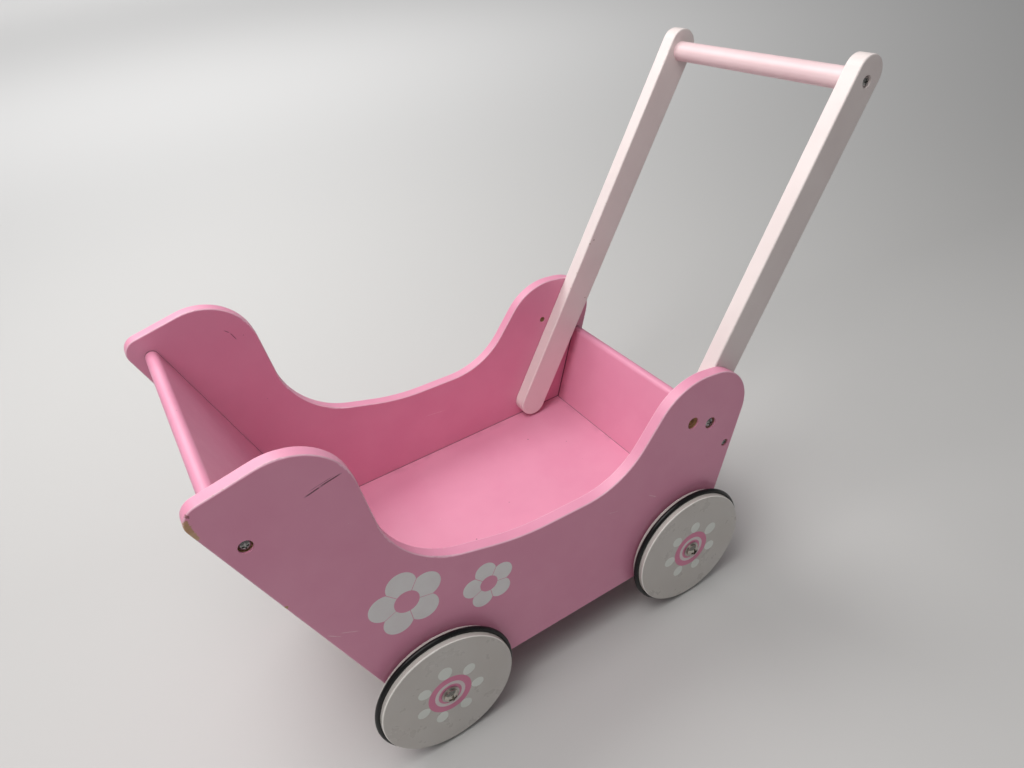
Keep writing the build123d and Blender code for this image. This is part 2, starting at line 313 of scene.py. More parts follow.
class EffectKit:
    """Builds each shared effect once and places it in as many finishes as ask for it."""

    def __init__(self) -> None:
        """Starts with no effect built."""
        self._built: dict[Effect, bpy.types.NodeTree] = {}
        self._builders: dict[Effect, Callable[[], bpy.types.NodeTree]] = {
            Effect.SPRAYED_FILM: self._sprayed_film,
            Effect.ROUNDED_RIM: self._rounded_rim,
            Effect.LINE_MARK: self._line_mark,
            Effect.SPOT_MARK: self._spot_mark,
            Effect.SPECKS: self._specks,
            Effect.RUBBED: self._rubbed,
            Effect.SEAM_DIRT: self._seam_dirt,
            Effect.BORED_HOLE: self._bored_hole,
            Effect.PRESSED_FIBRE: self._pressed_fibre,
        }

    def place(self, shading: Shading, effect: Effect, **inputs: SocketValue) -> bpy.types.Node:
        """Adds an effect to a finish.

        Args:
            shading: The finish's tree.
            effect: Which effect.
            **inputs: Its inputs by name, with _ for a space.

        Returns:
            The group's node, whose outputs are its masks and heights.
        """
        if effect not in self._built:
            self._built[effect] = self._builders[effect]()
        made = shading.node("ShaderNodeGroup")
        made.node_tree = self._built[effect]
        for name, value in inputs.items():
            shading.feed(made.inputs[name.replace("_", " ")], value)
        return made

    @staticmethod
    def _start(
        effect: Effect, inputs: Sequence[Port], outputs: Sequence[str]
    ) -> tuple[Shading, bpy.types.Node, bpy.types.Node]:
        """Makes an empty group.

        Args:
            effect: The effect that it is for.
            inputs: Its inputs.
            outputs: The names of its outputs, all numbers.

        Returns:
            Its tree, the node that holds its inputs and the one that takes its outputs.
        """
        tree = bpy.data.node_groups.new(effect.value, "ShaderNodeTree")
        for port in inputs:
            socket = tree.interface.new_socket(port.name, in_out="INPUT", socket_type=port.kind)
            if port.value is not None:
                socket.default_value = port.value
        for name in outputs:
            tree.interface.new_socket(name, in_out="OUTPUT", socket_type="NodeSocketFloat")
        shading = Shading(tree)
        return shading, shading.node("NodeGroupInput"), shading.node("NodeGroupOutput")

    def _sprayed_film(self) -> bpy.types.NodeTree:
        """Sprayed paint: the fine waves of its skin, slow shifts of tone and of gloss."""
        s, given, out = self._start(
            Effect.SPRAYED_FILM,
            (Port("Place", VECTOR), Port("Waves", value=420.0)),
            ("Height", "Tone", "Gloss"),
        )
        place, waves = given.outputs["Place"], given.outputs["Waves"]
        coarse = s.noise(place, waves, detail=1.0)
        fine = s.noise(place, s.math("MULTIPLY", waves, 4.5), detail=2.0)
        s.feed(out.inputs["Height"], s.math("ADD", coarse, s.math("MULTIPLY", fine, 0.35)))
        s.feed(out.inputs["Tone"], s.noise(place, 16.0, detail=3.0, roughness=0.6))
        s.feed(out.inputs["Gloss"], s.noise(place, 48.0, detail=4.0, roughness=0.62))
        return s.tree

    def _rounded_rim(self) -> bpy.types.NodeTree:
        """The rounded edges and the cut edges of a board whose faces look along Y."""
        s, given, out = self._start(
            Effect.ROUNDED_RIM,
            (Port("Place", VECTOR), Port("Normal", VECTOR), Port("Patch Scale", value=90.0)),
            ("Rim", "Cut Edge", "Rim Wear", "Chips"),
        )
        place = given.outputs["Place"]
        _, across, _ = s.split(given.outputs["Normal"])
        across = s.math("ABSOLUTE", across)
        rising = s.step(across, 0.12, 0.45)
        falling = s.step(across, 0.8, 0.985, 1.0, 0.0)
        rim = s.math("MULTIPLY", rising, falling)
        patches = s.noise(place, given.outputs["Patch Scale"], detail=4.0, roughness=0.7)
        bits = s.noise(place, s.math("MULTIPLY", given.outputs["Patch Scale"], 4.2), detail=3.0)
        worn = s.math("MULTIPLY", rim, s.step(patches, 0.5, 0.66))
        chips = s.math("MULTIPLY", rim, s.step(s.math("MULTIPLY", patches, bits), 0.395, 0.415))
        s.feed(out.inputs["Rim"], rim)
        s.feed(out.inputs["Cut Edge"], s.step(across, 0.05, 0.3, 1.0, 0.0))
        s.feed(out.inputs["Rim Wear"], worn)
        s.feed(out.inputs["Chips"], chips)
        return s.tree

    def _line_mark(self) -> bpy.types.NodeTree:
        """A scratch from one point to another, a little uneven, that fades at its ends."""
        s, given, out = self._start(
            Effect.LINE_MARK,
            (
                Port("Place", VECTOR),
                Port("Start", VECTOR),
                Port("End", VECTOR),
                Port("Width", value=0.0006),
                Port("Wander", value=0.001),
            ),
            ("Mask",),
        )
        start, end, width = (given.outputs[name] for name in ("Start", "End", "Width"))
        place = given.outputs["Place"]
        sway = s.math("SUBTRACT", s.noise(place, 75.0, detail=2.0), 0.5)
        sway = s.math("MULTIPLY", sway, given.outputs["Wander"])
        place = s.vector("ADD", place, s.join(s.math("MULTIPLY", sway, 0.4), 0.0, sway))
        along = s.vector("SUBTRACT", end, start)
        reach = s.vector("SUBTRACT", place, start)
        share = s.math(
            "DIVIDE",
            s.vector("DOT_PRODUCT", reach, along),
            s.vector("DOT_PRODUCT", along, along),
            clamp=True,
        )
        nearest = s.vector("SCALE", along, scale=share)
        away = s.vector("DISTANCE", reach, nearest)
        core = s.step(away, s.math("MULTIPLY", width, 0.25), width, 1.0, 0.0)
        fade = s.math("MULTIPLY", s.step(share, 0.0, 0.25), s.step(share, 0.7, 1.0, 1.0, 0.0))
        broken = s.step(s.noise(given.outputs["Place"], 420.0, detail=2.0), 0.3, 0.5, 0.35, 1.0)
        s.feed(out.inputs["Mask"], s.math("MULTIPLY", s.math("MULTIPLY", core, fade), broken))
        return s.tree

    def _spot_mark(self) -> bpy.types.NodeTree:
        """A chip or rub about one point, with a ragged outline."""
        s, given, out = self._start(
            Effect.SPOT_MARK,
            (
                Port("Place", VECTOR),
                Port("Centre", VECTOR),
                Port("Radius", value=0.003),
                Port("Softness", value=0.15),
            ),
            ("Mask",),
        )
        place, radius = given.outputs["Place"], given.outputs["Radius"]
        away = s.vector("DISTANCE", place, given.outputs["Centre"])
        away = s.math("DIVIDE", away, radius)
        ragged = s.noise(place, s.math("DIVIDE", 1.3, radius), detail=4.0, roughness=0.65)
        away = s.math("ADD", away, s.math("MULTIPLY", s.math("SUBTRACT", ragged, 0.5), 1.5))
        high = s.math("ADD", 0.8, given.outputs["Softness"])
        s.feed(out.inputs["Mask"], s.step(away, 0.8, high, 1.0, 0.0))
        return s.tree

    def _specks(self) -> bpy.types.NodeTree:
        """Scattered specks: each cell of a grid may hold one."""
        s, given, out = self._start(
            Effect.SPECKS,
            (
                Port("Place", VECTOR),
                Port("Cells", value=55.0),
                Port("Size", value=0.05),
                Port("Share", value=0.3),
            ),
            ("Mask",),
        )
        cells = s.node("ShaderNodeTexVoronoi", feature="F1")
        s.feed(cells.inputs["Vector"], given.outputs["Place"])
        s.feed(cells.inputs["Scale"], given.outputs["Cells"])
        lot, other, _ = s.split(cells.outputs["Color"])
        size = s.math("MULTIPLY", given.outputs["Size"], s.math("ADD", 0.4, other))
        dot = s.step(cells.outputs["Distance"], s.math("MULTIPLY", size, 0.5), size, 1.0, 0.0)
        kept = s.math("LESS_THAN", lot, given.outputs["Share"])
        s.feed(out.inputs["Mask"], s.math("MULTIPLY", dot, kept))
        return s.tree

    def _rubbed(self) -> bpy.types.NodeTree:
        """Patches of short fine rubs, as play leaves on paint, mostly along X."""
        s, given, out = self._start(
            Effect.RUBBED,
            (Port("Place", VECTOR), Port("Slope", value=0.35), Port("Amount", value=0.5)),
            ("Mask",),
        )
        x, y, z = s.split(given.outputs["Place"])
        tilted = s.math("ADD", z, s.math("MULTIPLY", x, given.outputs["Slope"]))
        hairs = s.noise(s.join(s.math("MULTIPLY", x, 26.0), y, s.math("MULTIPLY", tilted, 900.0)), 1.0)
        hairs = s.step(hairs, 0.66, 0.74)
        patch = s.noise(given.outputs["Place"], 22.0, detail=3.0, roughness=0.55)
        low = s.math("SUBTRACT", 0.72, s.math("MULTIPLY", given.outputs["Amount"], 0.2))
        patch = s.step(patch, low, 0.78)
        s.feed(out.inputs["Mask"], s.math("MULTIPLY", hairs, patch))
        return s.tree

    def _seam_dirt(self) -> bpy.types.NodeTree:
        """The dark line where two boards meet, and a faint uneven darker band beside it: painted shade of
        the joint and its corner, with some dirt.
        """
        s, given, out = self._start(
            Effect.SEAM_DIRT,
            (
                Port("Place", VECTOR),
                Port("Coordinate"),
                Port("Seam"),
                Port("Width", value=0.0008),
            ),
            ("Line", "Dirt"),
        )
        away = s.math("ABSOLUTE", s.math("SUBTRACT", given.outputs["Coordinate"], given.outputs["Seam"]))
        width = given.outputs["Width"]
        uneven = s.noise(given.outputs["Place"], 60.0, detail=3.0)
        s.feed(out.inputs["Line"], s.step(away, s.math("MULTIPLY", width, 0.4), width, 1.0, 0.0))
        shade_and_dirt = s.step(away, 0.0, s.math("MULTIPLY", width, 9.0), 1.0, 0.0)
        s.feed(out.inputs["Dirt"], s.math("MULTIPLY", shade_and_dirt, s.step(uneven, 0.42, 0.7)))
        return s.tree

    def _bored_hole(self) -> bpy.types.NodeTree:
        """The unpainted wall of a hole bored along Y, between the paint that reaches in at its ends."""
        s, given, out = self._start(
            Effect.BORED_HOLE,
            (
                Port("Place", VECTOR),
                Port("Centre", VECTOR),
                Port("Radius", value=0.005),
                Port("Inner Skin", value=0.1205),
                Port("Outer Skin", value=0.1306),
                Port("Slack", value=0.00025),
                Port("Soft End", value=0.0006),
            ),
            ("Mask",),
        )
        x, y, z = s.split(given.outputs["Place"])
        away = s.vector("DISTANCE", s.join(x, 0.0, z), given.outputs["Centre"])
        inside = s.math("LESS_THAN", away, s.math("ADD", given.outputs["Radius"], given.outputs["Slack"]))
        depth = s.math("ABSOLUTE", y)
        skin = given.outputs["Outer Skin"]
        below = s.step(depth, s.math("SUBTRACT", skin, given.outputs["Soft End"]), skin, 1.0, 0.0)
        above = s.math("GREATER_THAN", depth, given.outputs["Inner Skin"])
        s.feed(out.inputs["Mask"], s.math("MULTIPLY", inside, s.math("MULTIPLY", below, above)))
        return s.tree

    def _pressed_fibre(self) -> bpy.types.NodeTree:
        """Raw fibreboard or softwood: short fibres drawn out along one direction."""
        s, given, out = self._start(
            Effect.PRESSED_FIBRE,
            (Port("Place", VECTOR), Port("Stretch", VECTOR, (1.0, 1.0, 1.0)), Port("Fibres", value=900.0)),
            ("Height", "Tone"),
        )
        drawn = s.vector("MULTIPLY", given.outputs["Place"], given.outputs["Stretch"])
        fibres = s.noise(drawn, given.outputs["Fibres"], detail=5.0, roughness=0.7, distortion=0.4)
        rings = s.noise(drawn, s.math("MULTIPLY", given.outputs["Fibres"], 0.12), detail=2.0)
        s.feed(out.inputs["Height"], fibres)
        tone = s.math("ADD", s.math("MULTIPLY", fibres, 0.5), s.math("MULTIPLY", rings, 0.5))
        s.feed(out.inputs["Tone"], s.step(tone, 0.36, 0.64))
        return s.tree


# ------------------------------------------------------------------ finishes


@dataclass(frozen=True)
class Scratch:
    """A line scratched into paint, from start to end, in metres."""

    start: Point
    end: Point
    width: float = 0.7 * MM
    wander: float = 1.2 * MM
    colour: Colour = (0.07, 0.018, 0.028)
    strength: float = 0.9
    depth: float = 1.5

    def inputs(self) -> dict[str, SocketValue]:
        """Its values for the line effect."""
        return {"Start": self.start, "End": self.end, "Width": self.width, "Wander": self.wander}


@dataclass(frozen=True)
class Chip:
    """A spot where the paint has come off, or is rubbed or stained."""

    centre: Point
    radius: float
    colour: Colour = (0.50, 0.30, 0.14)
    softness: float = 0.12
    strength: float = 1.0
    depth: float = 1.0

    def inputs(self) -> dict[str, SocketValue]:
        """Its values for the spot effect."""
        return {"Centre": self.centre, "Radius": self.radius, "Softness": self.softness}


@dataclass(frozen=True)
class Seam:
    """A straight joint between two boards: where one coordinate has one value."""

    axis: int
    value: float
    width: float = 0.9 * MM
    strength: float = 0.75


@dataclass(frozen=True)
class Hole:
    """A hole bored along Y, with its middle in X and Z and its radius."""

    x: float
    z: float
    radius: float


def principled(name: str) -> tuple[bpy.types.Material, bpy.types.Node]:
    """Starts a material.

    Args:
        name: The material's name.

    Returns:
        The material and its Principled BSDF.
    """
    material = bpy.data.materials.new(name)
    material.use_nodes = True
    return material, next(n for n in material.node_tree.nodes if n.type == "BSDF_PRINCIPLED")


@dataclass
class Surface:
    """A material in the making: its tree, its shader and the effects that it shares."""

    name: str
    kit: EffectKit
    material: bpy.types.Material = field(init=False)
    tree: Shading = field(init=False)
    shader: bpy.types.Node = field(init=False)
    place: bpy.types.NodeSocket = field(init=False)

    def __post_init__(self) -> None:
        """Starts the material."""
        self.material, self.shader = principled(self.name)
        self.tree = Shading(self.material.node_tree)
        self.place = self.tree.local_place()

    def effect(self, effect: Effect, **inputs: SocketValue) -> bpy.types.Node:
        """Adds a shared effect that is read at the point's place."""
        return self.kit.place(self.tree, effect, Place=self.place, **inputs)

    def share(self, mask: SocketValue, amount: float) -> bpy.types.NodeSocket:
        """A mask, weakened to an amount from 0 to 1."""
        return self.tree.math("MULTIPLY", mask, amount)

    def set(self, name: str, value: SocketValue) -> None:
        """Feeds one of the shader's inputs."""
        self.tree.feed(self.shader.inputs[name], value)

    def bump(self, height: SocketValue, strength: float, distance: float) -> None:
        """Gives the surface a fine relief.

        Args:
            height: The relief's height.
            strength: How strongly it shows.
            distance: The height that a value of 1 stands for, in metres.
        """
        made = self.tree.node("ShaderNodeBump")
        self.tree.feed(made.inputs["Strength"], strength)
        self.tree.feed(made.inputs["Distance"], distance)
        self.tree.feed(made.inputs["Height"], height)
        self.set("Normal", made.outputs["Normal"])


@dataclass(frozen=True)
class Finish:
    """What every finish has: a name and a way to make its material."""

    name: str

    def build(self, kit: EffectKit) -> bpy.types.Material:
        """Makes the material.

        Args:
            kit: The shared effects.

        Returns:
            The finished material.
        """
        surface = Surface(self.name, kit)
        self.coat(surface)
        return surface.material

    def coat(self, on: Surface) -> None:
        """Adds the finish's own nodes to its material."""
        raise NotImplementedError


@dataclass(frozen=True)
class PaintedWood(Finish):
    """Sprayed paint on fibreboard or wood, worn thin at its rounded edges, which also carry a painted
    highlight.
    """

    colour: Colour
    deep_colour: Colour
    # The rim colour stands for paint worn thin at the edges and for a painted highlight on them.
    rim_colour: Colour
    bare_colour: Colour = (0.50, 0.30, 0.14)
    roughness: float = 0.38
    skin: float = 0.5
    relief: float = 0.09 * MM
    chip_depth: float = 2.0
    hole_fibres: float = 1600.0
    hole_dark_share: float = 0.55
    rim_lift: float = 0.5
    rim_wear: float = 0.3
    chips: float = 0.0
    rubs: float = 0.25
    rub_slopes: tuple[FlatPoint, ...] = ((0.35, 1.0), (-1.4, 0.7))
    rub_colour: Colour = (0.86, 0.66, 0.72)
    # This colour serves the dark specks of dirt, and the painted shade along the joints.
    dirt_colour: Colour = (0.16, 0.07, 0.08)
    specks: float = 0.25
    speck_cells: float = 38.0
    speck_size: float = 0.03
    scratches: tuple[Scratch, ...] = ()
    spots: tuple[Chip, ...] = ()
    seams: tuple[Seam, ...] = ()
    holes: tuple[Hole, ...] = ()

    def coat(self, on: Surface) -> None:
        """Adds the paint, its worn rims with their painted highlight, its marks and its raw holes."""
        s = on.tree
        film = on.effect(Effect.SPRAYED_FILM)
        rim = on.effect(Effect.ROUNDED_RIM, Normal=s.local_normal())
        tone = s.step(film.outputs["Tone"], 0.3, 0.7)
        colour = s.mix(tone, self.colour, self.deep_colour)
        # Lightens every rounded rim evenly: partly thin worn paint, partly a painted highlight where the
        # edges catch the light.
        colour = s.mix(on.share(rim.outputs["Rim"], self.rim_lift), colour, self.rim_colour)
        colour = s.mix(on.share(rim.outputs["Rim Wear"], self.rim_wear), colour, self.rim_colour)
        colour = self._rubs(on, colour)
        colour = self._specks(on, colour)
        bare = on.share(rim.outputs["Chips"], self.chips)
        colour = s.mix(bare, colour, self.bare_colour)
        height = s.math("SUBTRACT", film.outputs["Height"], on.share(bare, self.chip_depth))
        colour, height = self._marks(on, colour, height)
        colour = self._joints(on, colour)
        colour, raw = self._raw_holes(on, colour)
        on.set("Base Color", colour)
        gloss = on.share(s.math("SUBTRACT", film.outputs["Gloss"], 0.5), 0.28)
        rough = s.math("ADD", gloss, self.roughness)
        rough = s.math("ADD", rough, on.share(rim.outputs["Cut Edge"], 0.07))
        rough = s.math("ADD", rough, on.share(s.math("MAXIMUM", bare, raw), 0.4), clamp=True)
        on.set("Roughness", rough)
        on.bump(height, self.skin, self.relief)

    def _rubs(self, on: Surface, colour: SocketValue) -> bpy.types.NodeSocket:
        """Adds fine pale rubs in two directions.

        Args:
            on: The material in the making.
            colour: The colour so far.

        Returns:
            The new colour.
        """
        for slope, share in self.rub_slopes:
            made = on.effect(Effect.RUBBED, Slope=slope, Amount=self.rubs * share)
            colour = on.tree.mix(on.share(made.outputs["Mask"], self.rubs), colour, self.rub_colour)
        return colour

    def _specks(self, on: Surface, colour: SocketValue) -> bpy.types.NodeSocket:
        """Adds small dark specks and tinier pale ones.

        Args:
            on: The material in the making.
            colour: The colour so far.

        Returns:
            The new colour.
        """
        cells, size = self.speck_cells, self.speck_size
        dark = on.effect(Effect.SPECKS, Cells=cells, Size=size, Share=self.specks)
        colour = on.tree.mix(on.share(dark.outputs["Mask"], 0.6), colour, self.dirt_colour)
        pale = on.effect(Effect.SPECKS, Cells=cells * 2.3, Size=size * 1.5, Share=0.08)
        return on.tree.mix(on.share(pale.outputs["Mask"], 0.45), colour, self.rub_colour)

    def _marks(
        self, on: Surface, colour: SocketValue, height: SocketValue
    ) -> tuple[bpy.types.NodeSocket, bpy.types.NodeSocket]:
        """Adds this board's own scratches and chips.

        Args:
            on: The material in the making.
            colour: The colour so far.
            height: The relief so far.

        Returns:
            The new colour and the new relief.
        """
        marks = [(m, on.effect(Effect.LINE_MARK, **m.inputs())) for m in self.scratches]
        marks += [(m, on.effect(Effect.SPOT_MARK, **m.inputs())) for m in self.spots]
        for mark, made in marks:
            mask = made.outputs["Mask"]
            colour = on.tree.mix(on.share(mask, mark.strength), colour, mark.colour)
            height = on.tree.math("SUBTRACT", height, on.share(mask, mark.depth))
        return colour, height

    def _joints(self, on: Surface, colour: SocketValue) -> bpy.types.NodeSocket:
        """Adds the dark joints where this board meets others, painted as shade in the joint and its corner,
        with some dirt.

        Args:
            on: The material in the making.
            colour: The colour so far.

        Returns:
            The new colour.
        """
        s = on.tree
        coordinates = s.split(on.place) if self.seams else ()
        for seam in self.seams:
            made = on.effect(
                Effect.SEAM_DIRT, Coordinate=coordinates[seam.axis], Seam=seam.value, Width=seam.width
            )
            line = on.share(made.outputs["Line"], seam.strength)
            shade_and_dirt = on.share(made.outputs["Dirt"], seam.strength * 0.25)
            # Darkens the joint and the band beside it: painted shade of the corner, with some dirt.
            colour = s.mix(s.math("MAXIMUM", line, shade_and_dirt), colour, self.dirt_colour)
        return colour

    def _raw_holes(
        self, on: Surface, colour: SocketValue
    ) -> tuple[bpy.types.NodeSocket, SocketValue]:
        """Shows raw board on the walls of this board's holes.

        Args:
            on: The material in the making.
            colour: The colour so far.

        Returns:
            The new colour, and the mask of the raw walls or 0.
        """
        if not self.holes:
            return colour, 0.0
        s = on.tree
        fibre = on.effect(Effect.PRESSED_FIBRE, Fibres=self.hole_fibres)
        dark = tuple(c * self.hole_dark_share for c in self.bare_colour)
        board = s.mix(fibre.outputs["Tone"], self.bare_colour, dark)
        raw: SocketValue = 0.0
        for hole in self.holes:
            made = on.effect(Effect.BORED_HOLE, Centre=(hole.x, 0.0, hole.z), Radius=hole.radius)
            raw = s.math("MAXIMUM", made.outputs["Mask"], raw)
        return s.mix(raw, colour, board), raw


@dataclass(frozen=True)
class PrintedInk(Finish):
    """A thin print on paint: nearly flat, a little uneven where it has rubbed."""

    colour: Colour
    rubbed_colour: Colour
    waves: float = 560.0
    relief: float = 0.07 * MM
    smoothest: float = 0.36
    dullest: float = 0.50

    def coat(self, on: Surface) -> None:
        """Adds the ink and its rubbed patches."""
        s = on.tree
        film = on.effect(Effect.SPRAYED_FILM, Waves=self.waves)
        cloud = s.step(film.outputs["Gloss"], 0.35, 0.75)
        colour = s.mix(on.share(cloud, 0.35), self.colour, self.rubbed_colour)
        rubs = on.effect(Effect.RUBBED, Slope=0.8, Amount=0.6)
        colour = s.mix(on.share(rubs.outputs["Mask"], 0.5), colour, self.rubbed_colour)
        on.set("Base Color", colour)
        on.set("Roughness", s.step(film.outputs["Gloss"], 0.2, 0.8, self.smoothest, self.dullest))
        on.bump(film.outputs["Height"], 0.4, self.relief)


@dataclass(frozen=True)
class PlatedMetal(Finish):
    """Plated or plain steel: bright, with a fine grain and dull spots."""

    colour: Colour
    dull_colour: Colour
    roughness: float = 0.2
    grain: float = 1400.0
    relief: float = 0.012 * MM
    stains: float = 620.0
    dull: float = 0.5

    def coat(self, on: Surface) -> None:
        """Adds the metal and its dull spots."""
        s = on.tree
        film = on.effect(Effect.SPRAYED_FILM, Waves=self.grain)
        stain = s.noise(on.place, self.stains, detail=4.0, roughness=0.7)
        stain = on.share(s.step(stain, 0.5, 0.72), self.dull)
        on.set("Base Color", s.mix(stain, self.colour, self.dull_colour))
        rough = s.math("ADD", on.share(stain, 0.3), self.roughness)
        on.set("Roughness", s.math("ADD", rough, on.share(film.outputs["Gloss"], 0.08)))
        on.set("Metallic", 1.0)
        on.bump(film.outputs["Height"], 0.25, self.relief)


@dataclass(frozen=True)
class TyreRubber(Finish):
    """Smooth black rubber cord, with a bloom and a trace of floor dust."""

    name: str = "tyre_rubber"
    colour: Colour = (0.006, 0.006, 0.0065)
    dust_colour: Colour = (0.06, 0.057, 0.054)
    waves: float = 900.0
    relief: float = 0.03 * MM
    smoothest: float = 0.26
    dullest: float = 0.44
    shine: float = 0.3

    def coat(self, on: Surface) -> None:
        """Adds the rubber, its bloom and its lint."""
        s = on.tree
        film = on.effect(Effect.SPRAYED_FILM, Waves=self.waves)
        lint = on.effect(Effect.SPECKS, Cells=160.0, Size=0.09, Share=0.2)
        bloom = on.share(s.step(film.outputs["Gloss"], 0.45, 0.8), 0.12)
        colour = s.mix(bloom, self.colour, self.dust_colour)
        on.set("Base Color", s.mix(on.share(lint.outputs["Mask"], 0.5), colour, self.dust_colour))
        on.set("Roughness", s.step(film.outputs["Gloss"], 0.3, 0.8, self.smoothest, self.dullest))
        on.set("Specular IOR Level", self.shine)
        on.bump(film.outputs["Height"], 0.4, self.relief)


@dataclass(frozen=True)
class RawWood(Finish):
    """Raw softwood, with its grain along Y."""

    name: str = "bare_wood"
    colour: Colour = (0.58, 0.40, 0.22)
    grain_colour: Colour = (0.38, 0.23, 0.11)
    fibres: float = 650.0
    relief: float = 0.12 * MM
    smoothest: float = 0.62
    dullest: float = 0.78

    def coat(self, on: Surface) -> None:
        """Adds the wood and its grain."""
        s = on.tree
        fibre = on.effect(Effect.PRESSED_FIBRE, Stretch=(1.0, 0.05, 1.0), Fibres=self.fibres)
        on.set("Base Color", s.mix(fibre.outputs["Tone"], self.colour, self.grain_colour))
        on.set("Roughness", s.step(fibre.outputs["Height"], 0.3, 0.7, self.smoothest, self.dullest))
        on.bump(fibre.outputs["Height"], 0.5, self.relief)


@dataclass
class Paintshop:
    """Makes each finish once and puts it on the frame's nodes or on new pieces."""

    nodes: dict[str, bpy.types.Object]
    kit: EffectKit = field(default_factory=EffectKit)
    made: dict[str, bpy.types.Material] = field(default_factory=dict)

    def material(self, finish: Finish) -> bpy.types.Material:
        """The finish's material, made at its first use."""
        if finish.name not in self.made:
            self.made[finish.name] = finish.build(self.kit)
        return self.made[finish.name]

    def dress(self, node: str, finish: Finish) -> None:
        """Puts a finish on all of a frame node's material slots.

        Args:
            node: The node's name.
            finish: Its finish.
        """
        material = self.material(finish)
        for place in self.nodes[node].material_slots:
            place.material = material
        log.info("%s is finished in %s", node, finish.name)

    def dress_all(self, names: Iterable[str], finish: Finish) -> None:
        """Puts one finish on several frame nodes."""
        for name in names:
            self.dress(name, finish)


# ------------------------------------------------------------------ the pram's finishes

PINK: Colour = (0.74, 0.30, 0.435)
DEEP_PINK: Colour = (0.715, 0.275, 0.41)
# PALE_PINK lightens the tub's rounded rims: partly worn paint, partly a painted highlight.
PALE_PINK: Colour = (0.89, 0.63, 0.715)
FIBREBOARD: Colour = (0.47, 0.28, 0.12)
WORN_FIBRE: Colour = (0.56, 0.36, 0.19)
DIRT_AND_SHADE: Colour = (0.13, 0.055, 0.07)
DARK_CHIP: Colour = (0.35, 0.16, 0.16)
DEEP_CHIP: Colour = (0.30, 0.10, 0.10)
SCUFF_PINK: Colour = (0.90, 0.66, 0.72)


def pink_board(name: str, **own: object) -> PaintedWood:
    """The tub's pink paint, with what one board has of its own."""
    return PaintedWood(
        name=name, colour=PINK, deep_colour=DEEP_PINK, rim_colour=PALE_PINK, dirt_colour=DIRT_AND_SHADE, **own
    )


def face_scratch(
    start: FlatPoint, end: FlatPoint, face: float, width: float, **own: object
) -> Scratch:
    """A scratch on a face that looks along Y.

    Args:
        start: Its start in X and Z, from the front axle and the ground, in millimetres.
        end: Its end.
        face: The face's y in millimetres.
        width: Its width in millimetres.
        **own: What else it has of its own.

    Returns:
        The scratch.
    """
    places = (from_axle(x, face, z) for x, z in (start, end))
    return Scratch(*places, width * MM, **own)


